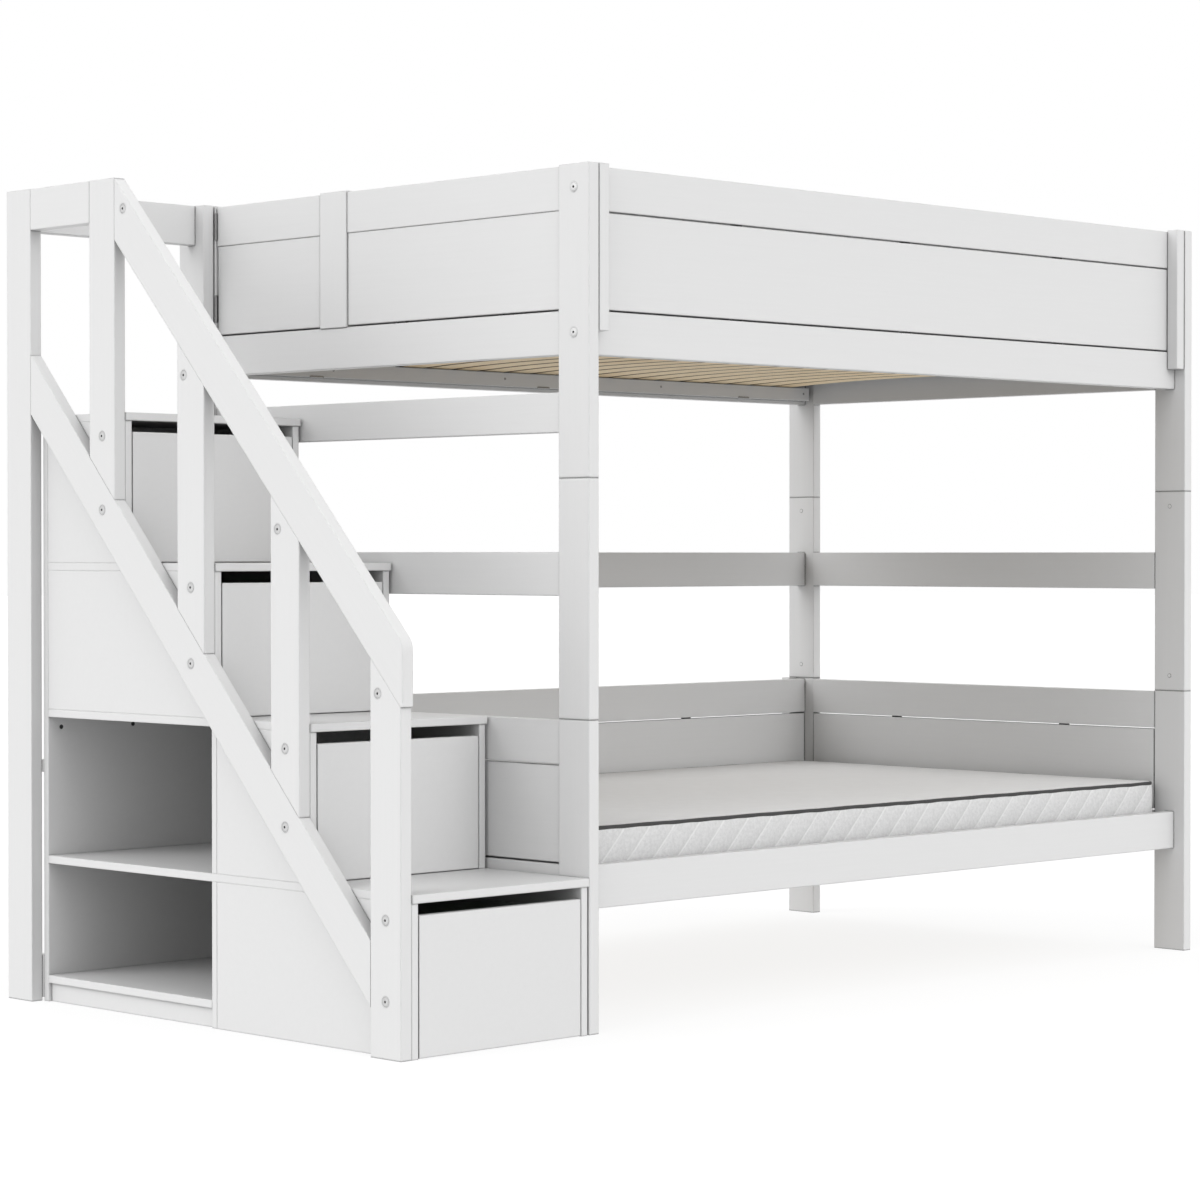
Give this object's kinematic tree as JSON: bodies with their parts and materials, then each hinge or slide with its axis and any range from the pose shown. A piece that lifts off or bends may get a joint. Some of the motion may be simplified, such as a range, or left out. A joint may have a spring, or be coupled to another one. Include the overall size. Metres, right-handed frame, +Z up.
{
  "type": "bunk bed with stairs",
  "caption": "White timber bunk bed with panelled guards and a drawer staircase at its left end, with handrail, open niche and a swing gate at the top step.",
  "frame": {"origin": "on the floor, at the centre of the whole object's footprint", "axes": "+X along the bed away from the staircase, +Y from the open front to the back, +Z up"},
  "size_m": [2.578, 1.3256, 1.775],
  "materials": {
    "white_timber": "satin white lacquer on pine",
    "white_board": "satin white lacquer on board",
    "drawer_board": "matt white board",
    "bare_pine": "planed bare pine",
    "mattress_ticking": "quilted woven ticking",
    "zinc_steel": "zinc plated",
    "dark_plastic": "matt"
  },
  "bodies": {
    "bed_frame": {"back_left_post": "white_timber", "back_newels": "white_timber", "back_panel": "white_board", "back_right_post": "white_timber", "balusters": "white_timber", "cam_fittings": "zinc_steel", "connector_bolts": "zinc_steel", "drawer_runners": "zinc_steel", "front_guard_panel": "white_timber", "front_guard_rail": "white_timber", "front_left_post": "white_timber", "front_newel": "white_timber", "front_right_post": "white_timber", "gate_hinge_post_leaves": "zinc_steel", "guard_battens": "white_timber", "handrail": "white_timber", "inner_side_panels": "white_board", "landing_rails": "white_timber", "left_guard_panel": "white_timber", "left_guard_rail": "white_timber", "left_guard_stile": "white_timber", "lower_back_guard": "white_timber", "lower_back_rail": "white_timber", "lower_end_guards": "white_timber", "lower_end_rails": "white_timber", "lower_front_rail": "white_timber", "lower_mattress": "mattress_ticking", "lower_slats": "bare_pine", "middle_back_rail": "white_timber", "middle_end_rails": "white_timber", "niche_boards": "white_board", "outer_side_panels": "white_board", "post_tenons": "bare_pine", "slat_ledgers": "white_timber", "spacer_blocks": "dark_plastic", "stair_packers": "dark_plastic", "stair_side_rail": "white_timber", "stringer": "white_timber", "tread_1": "white_board", "tread_2": "white_board", "tread_3": "white_board", "tread_4": "white_board", "upper_back_guard": "white_timber", "upper_back_rail": "white_timber", "upper_end_rails": "white_timber", "upper_front_rail": "white_timber", "upper_mattress": "mattress_ticking", "upper_right_guard": "white_timber", "upper_slats": "bare_pine"},
    "gate": {"gate_rail": "white_timber", "gate_panel": "white_timber", "gate_hinge_gate_leaves": "zinc_steel"},
    "drawer_1": {"drawer_1_box": "drawer_board", "drawer_1_front": "white_board"},
    "drawer_2": {"drawer_2_box": "drawer_board", "drawer_2_front": "white_board"},
    "drawer_3": {"drawer_3_box": "drawer_board", "drawer_3_front": "white_board"},
    "drawer_4": {"drawer_4_box": "drawer_board", "drawer_4_front": "white_board"}
  },
  "joints": [
    {"name": "drawer_1_slide", "type": "slide", "parent": "bed_frame", "child": "drawer_1", "axis": [0, -1, 0], "range_m": [0, 0.43]},
    {"name": "drawer_2_slide", "type": "slide", "parent": "bed_frame", "child": "drawer_2", "axis": [0, -1, 0], "range_m": [0, 0.19]},
    {"name": "drawer_3_slide", "type": "slide", "parent": "bed_frame", "child": "drawer_3", "axis": [0, -1, 0], "range_m": [0, 0.43]},
    {"name": "drawer_4_slide", "type": "slide", "parent": "bed_frame", "child": "drawer_4", "axis": [0, -1, 0], "range_m": [0, 0.19]},
    {"name": "gate_hinge", "type": "hinge", "parent": "bed_frame", "child": "gate", "pos_m": [-0.783, 0.56925, 1.626], "axis": [0, 0, -1], "range_deg": [0, 90]}
  ]
}
